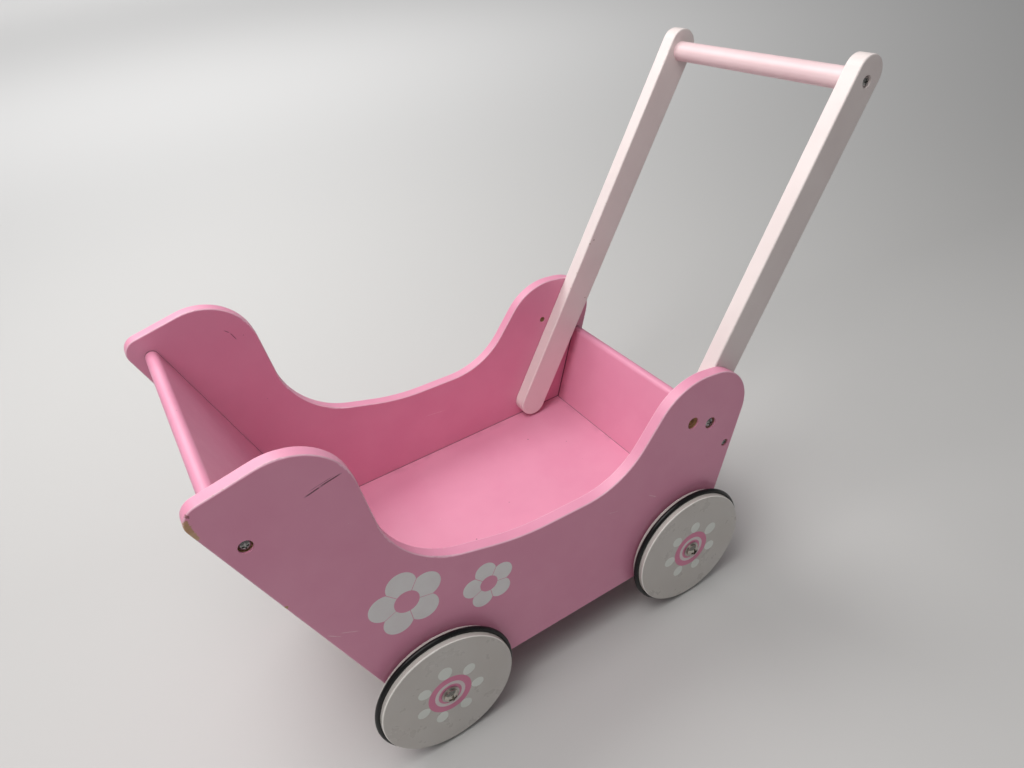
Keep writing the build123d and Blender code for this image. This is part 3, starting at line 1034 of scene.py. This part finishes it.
@dataclass
class Tub:
    """The two side panels, the floor and the front and rear boards."""

    shop: Paintshop
    screw_hole_radius: float = 5.2 * MM
    small_hole_radius: float = 4.2 * MM
    handle_hole_radius: float = 6.2 * MM
    front_screws: tuple[FlatPoint, ...] = ((101.387, 303.5), (33.042, 110.5))
    rear_screws: tuple[FlatPoint, ...] = ((-328.624, 167.0), (-309.5, 110.5))
    handle_holes: tuple[FlatPoint, ...] = ((-253.81, 114.5), (-308.074, 201.34), (-286.471, 211.551))
    pale_scuffs: tuple[tuple[FlatPoint, FlatPoint, float], ...] = (
        ((76.0, 190.5), (64.8, 180.5), 0.65),
        ((66.5, 186.0), (51.0, 177.0), 0.5),
        ((-185.0, 157.8), (-199.0, 153.5), 0.4),
        ((-232.5, 153.8), (-244.5, 144.2), 0.65),
        ((4.0, 262.0), (1.5, 240.0), 0.45),
    )
    nose_wear: tuple[tuple[Point, float, Colour, float], ...] = (
        ((126.8, 131.0, 340.2), 2.3, FIBREBOARD, 0.25),
        ((127.2, 131.0, 337.0), 2.9, FIBREBOARD, 0.25),
        ((127.0, 131.0, 333.4), 3.1, FIBREBOARD, 0.25),
        ((126.2, 131.0, 329.8), 2.8, WORN_FIBRE, 0.3),
        ((125.0, 131.2, 326.6), 2.2, WORN_FIBRE, 0.3),
    )

    def build(self) -> None:
        """Finishes the five boards."""
        self.shop.dress("left_side_panel", self._left_panel())
        self.shop.dress("right_side_panel", self._right_panel())
        self.shop.dress("floor_board", self._floor())
        for board in ("front_board", "rear_board"):
            self.shop.dress(board, self._end_board(board))

    def _holes(self) -> tuple[Hole, ...]:
        """Every hole that is bored through a side panel."""
        groups = (
            (self.front_screws, self.screw_hole_radius),
            (self.rear_screws, self.small_hole_radius),
            (self.handle_holes, self.handle_hole_radius),
        )
        holes = []
        for places, radius in groups:
            for x, z in places:
                middle = from_axle(x, 0.0, z)
                holes.append(Hole(middle[0], middle[2], radius))
        return tuple(holes)

    def _left_panel(self) -> PaintedWood:
        """The left panel, with its long scratch, its pale scuffs and its worn nose."""
        scratches = [
            face_scratch((57.8, 320.8), (41.0, 324.6), OUTER_FACE, 0.85),
            face_scratch((47.0, 323.6), (27.6, 327.6), OUTER_FACE, 0.8),
            face_scratch((54.5, 323.8), (33.0, 328.0), OUTER_FACE, 0.4, strength=0.5),
        ]
        for start, end, strength in self.pale_scuffs:
            own = {"colour": SCUFF_PINK, "strength": strength, "depth": 0.3}
            scratches.append(face_scratch(start, end, OUTER_FACE, 0.55, **own))
        spots = [
            Chip(from_axle(93.6, OUTER_FACE, 236.4), 1.9 * MM),
            Chip(from_axle(95.2, 130.6, 233.4), 1.3 * MM, colour=DEEP_CHIP),
        ]
        for place, radius, colour, softness in self.nose_wear:
            spots.append(Chip(from_axle(*place), radius * MM, colour, softness, strength=0.85))
        spots += [
            Chip(from_axle(124.4, 131.0, 344.6), 1.7 * MM, (0.25, 0.09, 0.09), 0.2, strength=0.8),
            Chip(from_axle(-12.5, 131.0, 214.0), 1.2 * MM, DARK_CHIP, strength=0.6),
            Chip(from_axle(-120.0, 131.2, 188.6), 1.0 * MM, DARK_CHIP, strength=0.5),
        ]
        return pink_board(
            "pink_paint_left_panel",
            chips=0.35,
            rubs=0.3,
            holes=self._holes(),
            scratches=tuple(scratches),
            spots=tuple(spots),
        )

    def _right_panel(self) -> PaintedWood:
        """The right panel, with a bent scratch inside its raised front and a pale one lower down."""
        scratches = (
            face_scratch((47.6, 331.2), (43.0, 326.4), -INNER_FACE, 0.5, strength=0.75),
            face_scratch((43.2, 326.8), (39.2, 317.2), -INNER_FACE, 0.6, strength=0.75),
            face_scratch(
                (-120.0, 150.0), (-150.0, 146.0), -INNER_FACE, 0.5, colour=(0.86, 0.6, 0.68), strength=0.4
            ),
        )
        spots = (
            Chip(from_axle(30.0, -121.0, 367.0), 1.5 * MM, DARK_CHIP, strength=0.5),
            Chip(from_axle(-140.0, -121.0, 189.5), 1.3 * MM, DARK_CHIP, strength=0.5),
        )
        return pink_board(
            "pink_paint_right_panel",
            chips=0.3,
            rubs=0.25,
            holes=self._holes(),
            scratches=scratches,
            spots=spots,
        )

    @staticmethod
    def _side_seams(width: float, strength: float) -> tuple[Seam, ...]:
        """The joints along both side panels' inner faces.

        Args:
            width: Their width in millimetres.
            strength: How clearly they show.

        Returns:
            The two joints.
        """
        return tuple(Seam(1, y * MM, width * MM, strength) for y in (INNER_FACE, -INNER_FACE))

    def _floor(self) -> PaintedWood:
        """The floor, with specks and the dark joints all round it, painted as shade in the corners with some
        dirt.
        """
        ends = tuple(Seam(0, x, 1.0 * MM, 0.8) for x in (FLOOR_FRONT_X, FLOOR_REAR_X))
        return pink_board(
            "pink_paint_floor",
            rim_lift=0.0,
            rim_wear=0.0,
            rubs=0.4,
            specks=0.5,
            speck_size=0.035,
            seams=self._side_seams(1.4, 0.85) + ends,
            spots=(
                Chip(from_axle(-96.0, 31.0, FLOOR_TOP), 0.9 * MM, (0.2, 0.1, 0.1), strength=0.7),
                Chip(from_axle(-150.0, 6.0, FLOOR_TOP), 0.7 * MM, (0.25, 0.1, 0.12), strength=0.6),
                Chip(from_axle(-222.0, -70.0, FLOOR_TOP), 1.0 * MM, (0.2, 0.1, 0.1), strength=0.6),
            ),
        )

    def _end_board(self, board: str) -> PaintedWood:
        """The front or rear board's paint, with its dark end joints painted as shade where it meets the side
        panels.
        """
        seams = self._side_seams(2.6, 0.95)
        return pink_board(f"pink_paint_{board}", rim_lift=0.0, rim_wear=0.0, seams=seams)


@dataclass
class Handle:
    """The two leaning arms and the round grip between them."""

    shop: Paintshop
    arm_colour: Colour = (0.80, 0.715, 0.70)
    arm_deep_colour: Colour = (0.765, 0.67, 0.66)
    grip_colour: Colour = (0.83, 0.635, 0.655)
    grip_deep_colour: Colour = (0.80, 0.59, 0.615)

    def build(self) -> None:
        """Finishes the arms and the grip."""
        self.shop.dress("left_handle_arm", self._arm(Side.LEFT))
        self.shop.dress("right_handle_arm", self._arm(Side.RIGHT))
        self.shop.dress("handle_grip", self._grip())

    def _arm(self, side: Side) -> PaintedWood:
        """One arm, with small dark chips along its edges.

        Args:
            side: Which arm.

        Returns:
            Its finish.
        """
        inner = ARM_INNER_FACE * side.value
        chips = {
            Side.LEFT: ((-443.8, 448.9), (-452.6, 462.0), (-430.0, 420.0), (-415.0, 396.5)),
            Side.RIGHT: ((-353.6, 295.0), (-348.0, 292.0), (-361.6, 247.0), (-337.2, 228.2)),
        }[side]
        spots = tuple(
            Chip(from_axle(x, inner, z), 1.0 * MM, colour=(0.30, 0.20, 0.16), strength=0.7) for x, z in chips
        )
        return PaintedWood(
            name=f"white_paint_{side.word}_arm",
            colour=self.arm_colour,
            deep_colour=self.arm_deep_colour,
            # The arms' paler rims are partly worn paint and partly a painted highlight on edges facing the
            # light.
            rim_colour=(0.86, 0.80, 0.78),
            bare_colour=(0.36, 0.24, 0.16),
            dirt_colour=(0.22, 0.15, 0.13),
            rub_colour=(0.90, 0.86, 0.84),
            roughness=0.36,
            rim_lift=0.3,
            rim_wear=0.35,
            chips=0.75,
            rubs=0.2,
            specks=0.3,
            spots=spots,
        )

    def _grip(self) -> PaintedWood:
        """The grip's paler pink paint."""
        return PaintedWood(
            name="grip_paint",
            colour=self.grip_colour,
            deep_colour=self.grip_deep_colour,
            rim_colour=self.grip_colour,
            dirt_colour=(0.36, 0.22, 0.20),
            rub_colour=(0.88, 0.78, 0.77),
            roughness=0.34,
            rim_lift=0.0,
            rim_wear=0.0,
            rubs=0.3,
            specks=0.2,
        )


# ------------------------------------------------------------------ prints


@dataclass
class PrintSheet:
    """Flat shapes drawn in X and Z, laid as one thin piece on a face that looks along Y."""

    name: str
    body: str
    slot: Slot
    finish: Finish
    face_y: float
    film: float = 0.07 * MM
    sunk: float = 0.04 * MM
    outlines: list[list[FlatPoint]] = field(default_factory=list)
    ring_pairs: list[tuple[list[FlatPoint], list[FlatPoint]]] = field(default_factory=list)

    def build(self, shop: Paintshop) -> None:
        """Makes the piece and lets it ride on its body.

        Args:
            shop: Where its finish is made.
        """
        mesh = bmesh.new()
        for outline in self.outlines:
            self._plate(mesh, outline)
        for outer, inner in self.ring_pairs:
            self._ring(mesh, outer, inner)
        bmesh.ops.recalc_face_normals(mesh, faces=mesh.faces)
        data = bpy.data.meshes.new(self.name)
        mesh.to_mesh(data)
        mesh.free()
        piece = bpy.data.objects.new(self.name, data)
        bpy.context.scene.collection.objects.link(piece)
        data.materials.append(shop.material(self.finish))
        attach(piece, self.body)
        log.info("%s is printed on %s", self.name, self.body)

    def _levels(self) -> tuple[float, float]:
        """The y of the print's hidden back and of its visible front."""
        outwards = math.copysign(1.0, self.face_y)
        return self.face_y - outwards * self.sunk, self.face_y + outwards * self.film

    def _plate(self, mesh: bmesh.types.BMesh, outline: Sequence[FlatPoint]) -> None:
        """Adds one closed plate.

        Args:
            mesh: The mesh to add to.
            outline: Its outline in X and Z.
        """
        back, front = ([mesh.verts.new((x, y, z)) for x, z in outline] for y in self._levels())
        mesh.faces.new(back)
        mesh.faces.new(front)
        for index in range(len(outline)):
            after = (index + 1) % len(outline)
            mesh.faces.new((back[index], back[after], front[after], front[index]))

    def _ring(
        self, mesh: bmesh.types.BMesh, outer: Sequence[FlatPoint], inner: Sequence[FlatPoint]
    ) -> None:
        """Adds one closed ring.

        Args:
            mesh: The mesh to add to.
            outer: Its outer outline in X and Z.
            inner: Its inner outline, with as many points.
        """
        loops = []
        for outline in (outer, inner):
            loops.append([[mesh.verts.new((x, y, z)) for x, z in outline] for y in self._levels()])
        (outer_back, outer_front), (inner_back, inner_front) = loops
        for a in range(len(outer)):
            b = (a + 1) % len(outer)
            mesh.faces.new((outer_back[a], outer_back[b], outer_front[b], outer_front[a]))
            mesh.faces.new((inner_back[a], inner_back[b], inner_front[b], inner_front[a]))
            mesh.faces.new((outer_front[a], outer_front[b], inner_front[b], inner_front[a]))
            mesh.faces.new((outer_back[a], outer_back[b], inner_back[b], inner_back[a]))


def circle(x: float, z: float, radius: float, points: int = 96) -> list[FlatPoint]:
    """A circle's outline in X and Z."""
    turns = [2 * math.pi * i / points for i in range(points)]
    return [(x + radius * math.cos(t), z + radius * math.sin(t)) for t in turns]


@dataclass
class PanelFlower:
    """A flower of five round petals about a round centre, with thin gaps between the petals."""

    x: float
    z: float
    turn: float
    size: float
    petals: int = 5
    petal_middle: float = 19.55 * MM
    petal_radius: float = 13.05 * MM
    centre_radius: float = 11.0 * MM
    gap: float = 0.55 * MM

    def outlines(self) -> list[list[FlatPoint]]:
        """The outline of each petal, in X and Z."""
        sector = 2 * math.pi / self.petals
        return [self._petal(self.turn + sector * i) for i in range(self.petals)]

    def _petal(self, direction: float, points: int = 40) -> list[FlatPoint]:
        """One petal's outline.

        Args:
            direction: The angle of its middle line from +X towards +Z.
            points: The number of points round its outer edge.

        Returns:
            Its outline in X and Z.
        """
        half = math.pi / self.petals
        middle, radius = self.petal_middle * self.size, self.petal_radius * self.size
        inner = self.centre_radius * self.size
        valley = middle * math.cos(half) + math.sqrt(radius**2 - (middle * math.sin(half)) ** 2)
        widest = half - self.gap / 2 / valley
        narrowest = half - self.gap / 2 / inner
        polar = []
        for i in range(points + 1):
            turn = -widest + 2 * widest * i / points
            reach = middle * math.cos(turn) + math.sqrt(radius**2 - (middle * math.sin(turn)) ** 2)
            polar.append((turn, reach))
        for i in range(points // 2 + 1):
            polar.append((narrowest - 2 * narrowest * i / (points // 2), inner))
        return [
            (self.x + r * math.cos(direction + t), self.z + r * math.sin(direction + t)) for t, r in polar
        ]


@dataclass
class WheelFlower:
    """The print on a wheel: drop-shaped petals round a pink disc with a white ring in it."""

    x: float
    z: float
    turn: float
    petals: int = 7
    disc_radius: float = 20.8 * MM
    disc_hole: float = 5.0 * MM
    white_outer: float = 14.6 * MM
    white_inner: float = 11.2 * MM
    petal_root_gap: float = 0.15 * MM
    petal_tip: float = 33.6 * MM
    petal_width: float = 11.6 * MM
    petal_growth: tuple[float, ...] = (1.16, 1.0, 0.96, 0.98, 1.0, 0.96, 1.0)

    def petal_outlines(self) -> list[list[FlatPoint]]:
        """The outline of each petal, in X and Z."""
        sector = 2 * math.pi / self.petals
        return [
            self._petal(self.turn + sector * i, self.petal_growth[i % len(self.petal_growth)])
            for i in range(self.petals)
        ]

    def band(self, outer: float, inner: float) -> tuple[list[FlatPoint], list[FlatPoint]]:
        """The outlines of a ring about the flower's middle, from its two radii."""
        return circle(self.x, self.z, outer), circle(self.x, self.z, inner)

    def _petal(self, direction: float, growth: float, points: int = 44) -> list[FlatPoint]:
        """One petal's outline, wide and round outside and narrow at the disc.

        Args:
            direction: The angle of its middle line from +X towards +Z.
            growth: Its size against the others.
            points: The number of points round it.

        Returns:
            Its outline in X and Z.
        """
        root = self.disc_radius + self.petal_root_gap
        length = (self.petal_tip - root) * growth
        flat = []
        for i in range(points):
            t = 2 * math.pi * i / points
            along = 0.5 - 0.5 * math.cos(t)
            fullness = 0.84 + 0.16 * math.sin(0.5 * math.pi * min(1.0, along * 1.25))
            across = 0.5 * self.petal_width * growth * math.sin(t) * fullness
            flat.append((root + length * along, across))
        cosine, sine = math.cos(direction), math.sin(direction)
        return [(self.x + r * cosine - a * sine, self.z + r * sine + a * cosine) for r, a in flat]


@dataclass
class Prints:
    """Every print on the panels' outer faces and on the wheels."""

    shop: Paintshop
    white_ink: PrintedInk = PrintedInk("print_white", (0.77, 0.745, 0.745), (0.70, 0.62, 0.64))
    wheel_ink: PrintedInk = PrintedInk("print_wheel_white", (0.765, 0.79, 0.745), (0.70, 0.70, 0.65))
    ring_ink: PrintedInk = PrintedInk("print_ring_white", (0.74, 0.66, 0.66), (0.70, 0.52, 0.56))
    pink_ink: PrintedInk = PrintedInk("print_pink", (0.70, 0.215, 0.36), (0.68, 0.30, 0.40))
    large_flower: FlatPoint = (10.79, 181.43)
    small_flower: FlatPoint = (-60.17, 152.38)
    wheel_turns: dict[Axle, float] = field(
        default_factory=lambda: {Axle.FRONT: math.radians(90.0), Axle.REAR: math.radians(152.2)}
    )

    def build(self) -> None:
        """Prints both panels and all four wheels."""
        for side in Side:
            self._panel(side)
            for axle in Axle:
                self._wheel(axle, side)

    def _panel(self, side: Side) -> None:
        """Prints the two flowers on one panel.

        Args:
            side: Which panel.
        """
        face = OUTER_FACE * MM * side.value
        for word, place, turn, size in (
            ("large", self.large_flower, 14.4, 1.0),
            ("small", self.small_flower, 13.6, 0.76),
        ):
            middle = from_axle(place[0], 0.0, place[1])
            flower = PanelFlower(middle[0], middle[2], math.radians(turn), size)
            sheet = PrintSheet(
                f"{side.word}_panel_{word}_flower", "chassis", Slot.PRINT_WHITE, self.white_ink, face
            )
            sheet.outlines = flower.outlines()
            sheet.build(self.shop)

    def _wheel(self, axle: Axle, side: Side) -> None:
        """Prints one wheel's flower, disc and ring.

        Args:
            axle: Which axle.
            side: Which side.
        """
        body = f"{axle.word}_{side.word}_wheel_set"
        face = WHEEL_OUTER_Y * side.value
        corner = f"{axle.word}_{side.word}"
        flower = WheelFlower(axle.value, AXLE_Z, self.wheel_turns[axle])
        petals = PrintSheet(f"{corner}_petals", body, Slot.PRINT_WHITE, self.wheel_ink, face)
        petals.outlines = flower.petal_outlines()
        petals.build(self.shop)
        disc = PrintSheet(f"{corner}_disc", body, Slot.PRINT_PINK, self.pink_ink, face)
        disc.ring_pairs = [flower.band(flower.disc_radius, flower.disc_hole)]
        disc.build(self.shop)
        ring = PrintSheet(f"{corner}_ring", body, Slot.PRINT_WHITE, self.ring_ink, face, film=0.12 * MM)
        ring.ring_pairs = [flower.band(flower.white_outer, flower.white_inner)]
        ring.build(self.shop)


# ------------------------------------------------------------------ wheels and fasteners


@dataclass
class RunningGear:
    """The four wheels with their tyres, screws, washers and spacers, and the axle beams."""

    shop: Paintshop
    # The rims are painted much paler than the face: a painted highlight on the rims that face up to the
    # light.
    wheel_paint: PaintedWood = PaintedWood(
        name="wheel_paint",
        colour=(0.585, 0.555, 0.525),
        deep_colour=(0.56, 0.525, 0.49),
        rim_colour=(0.94, 0.91, 0.86),
        bare_colour=(0.42, 0.33, 0.25),
        dirt_colour=(0.24, 0.20, 0.17),
        rub_colour=(0.83, 0.81, 0.78),
        roughness=0.3,
        rim_lift=0.85,
        rim_wear=0.3,
        chips=0.0,
        rubs=0.05,
        specks=0.15,
        speck_size=0.022,
    )
    nickel: PlatedMetal = PlatedMetal("nickel", (0.50, 0.47, 0.42), (0.20, 0.18, 0.15), 0.16)
    zinc: PlatedMetal = PlatedMetal("washer_steel", (0.56, 0.55, 0.52), (0.33, 0.31, 0.28), 0.3)

    def build(self) -> None:
        """Finishes the wheels, their fittings and the beams."""
        corners = [f"{axle.word}_{side.word}" for axle in Axle for side in Side]
        self.shop.dress_all((f"{c}_wheel" for c in corners), self.wheel_paint)
        self.shop.dress_all((f"{c}_tyre" for c in corners), TyreRubber())
        self.shop.dress_all((f"{c}_axle_screw" for c in corners), self.nickel)
        self.shop.dress_all((f"{c}_axle_washer" for c in corners), self.zinc)
        self.shop.dress_all((f"{c}_wheel_spacer" for c in corners), self.zinc)
        self.shop.dress_all((f"{axle.word}_axle_beam" for axle in Axle), RawWood())


@dataclass
class Fasteners:
    """The screws, bolts, inserts and dowels that hold the boards and the handle."""

    shop: Paintshop
    # The screws' metal is darker than bright nickel: a painted reflection of dark surroundings.
    plated: PlatedMetal = PlatedMetal("screw_nickel", (0.36, 0.35, 0.34), (0.10, 0.09, 0.085), 0.2)
    names: tuple[str, ...] = (
        "front_board_screws",
        "rear_board_screws",
        "handle_pivot_bolts",
        "handle_lock_bolts",
        "handle_thread_inserts",
        "grip_screws",
    )

    def build(self) -> None:
        """Finishes the metal fasteners and the dowels."""
        self.shop.dress_all(self.names, self.plated)
        self.shop.dress("floor_dowels", RawWood())


# ------------------------------------------------------------------ studio


@dataclass(frozen=True)
class SoftLight:
    """One square studio light, aimed at a point."""

    name: str
    place: Point
    target: Point
    power: float
    size: float
    colour: Colour = (1.0, 1.0, 1.0)

    def build(self) -> None:
        """Adds the light."""
        data = bpy.data.lights.new(self.name, "AREA")
        data.energy = self.power
        data.size = self.size
        data.color = self.colour
        light = bpy.data.objects.new(self.name, data)
        aim = Vector(self.target) - Vector(self.place)
        turn = aim.to_track_quat("-Z", "Y").to_matrix().to_4x4()
        light.matrix_world = Matrix.Translation(self.place) @ turn
        bpy.context.scene.collection.objects.link(light)


LAMP_WHITE: Colour = (1.0, 0.985, 0.965)
TUB_MIDDLE: Point = (0.0, 0.0, 0.15)


@dataclass
class Studio:
    """A plain pale floor, a pale sky, soft lights and the camera."""

    floor_half: float = 14.0
    floor_colour: Colour = (0.58, 0.575, 0.57)
    sky_colour: Colour = (0.86, 0.87, 0.88)
    sky_strength: float = 0.22
    camera_place: Point = (0.279185, 0.5253, 0.6439)
    camera_right: Point = (-0.84808, 0.51929, -0.10534)
    camera_down: Point = (0.37219, 0.44231, -0.81599)
    camera_lens: float = 26.01
    sensor_width: float = 36.0
    nearest: float = 0.01
    furthest: float = 100.0
    lights: tuple[SoftLight, ...] = (
        SoftLight("front_left_light", (0.9, 0.3, 1.6), TUB_MIDDLE, 8.5, 0.9, LAMP_WHITE),
        SoftLight("right_light", (0.4, -0.9, 1.5), TUB_MIDDLE, 15.0, 0.9, LAMP_WHITE),
        SoftLight("left_top_light", (0.25, 0.5, 1.75), TUB_MIDDLE, 4.5, 0.9, LAMP_WHITE),
        SoftLight("overhead_light", (0.4, 0.1, 1.5), (0.1, 0.0, 0.15), 3.5, 0.6, LAMP_WHITE),
        SoftLight("floor_wash_light", (0.0, -2.0, 3.5), (-0.5, -9.0, 0.0), 200.0, 2.0),
        SoftLight("far_floor_light", (0.0, -11.0, 5.0), (0.0, -11.0, 0.0), 420.0, 8.0),
    )

    def build(self) -> None:
        """Adds the floor, the sky, the lights and the camera."""
        self._floor()
        self._sky()
        for light in self.lights:
            light.build()
        self._camera()
        bpy.context.scene.view_settings.view_transform = "Standard"
        log.info("the studio is set")

    def _floor(self) -> None:
        """Adds the floor, just under the tyres."""
        half = self.floor_half
        data = bpy.data.meshes.new("studio_floor")
        corners = [(-half, -half, 0), (half, -half, 0), (half, half, 0), (-half, half, 0)]
        data.from_pydata(corners, [], [(0, 1, 2, 3)])
        floor = bpy.data.objects.new("studio_floor", data)
        bpy.context.scene.collection.objects.link(floor)
        material, shader = principled("studio_floor")
        shader.inputs["Base Color"].default_value = (*self.floor_colour, 1.0)
        shader.inputs["Roughness"].default_value = 0.9
        data.materials.append(material)

    def _sky(self) -> None:
        """Sets an even pale sky."""
        world = bpy.data.worlds.new("studio_sky")
        world.use_nodes = True
        background = next(n for n in world.node_tree.nodes if n.type == "BACKGROUND")
        background.inputs["Color"].default_value = (*self.sky_colour, 1.0)
        background.inputs["Strength"].default_value = self.sky_strength
        bpy.context.scene.world = world

    def _camera(self) -> None:
        """Adds the camera and makes it the scene's."""
        data = bpy.data.cameras.new("studio_camera")
        data.lens = self.camera_lens
        data.sensor_width = self.sensor_width
        data.clip_start = self.nearest
        data.clip_end = self.furthest
        camera = bpy.data.objects.new("studio_camera", data)
        right = Vector(self.camera_right).normalized()
        up = -Vector(self.camera_down)
        up = (up - right * up.dot(right)).normalized()
        back = right.cross(up)
        turn = Matrix((right, up, back)).transposed().to_4x4()
        camera.matrix_world = Matrix.Translation(self.camera_place) @ turn
        bpy.context.scene.collection.objects.link(camera)
        bpy.context.scene.camera = camera


# ------------------------------------------------------------------ the whole pram


def main() -> None:
    """Loads the frame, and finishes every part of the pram."""
    logging.basicConfig(level=logging.INFO, format="%(message)s")
    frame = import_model()
    shop = Paintshop(frame["nodes"])
    Studio().build()
    Tub(shop).build()
    Handle(shop).build()
    RunningGear(shop).build()
    Fasteners(shop).build()
    Prints(shop).build()


if __name__ == "__main__":
    main()
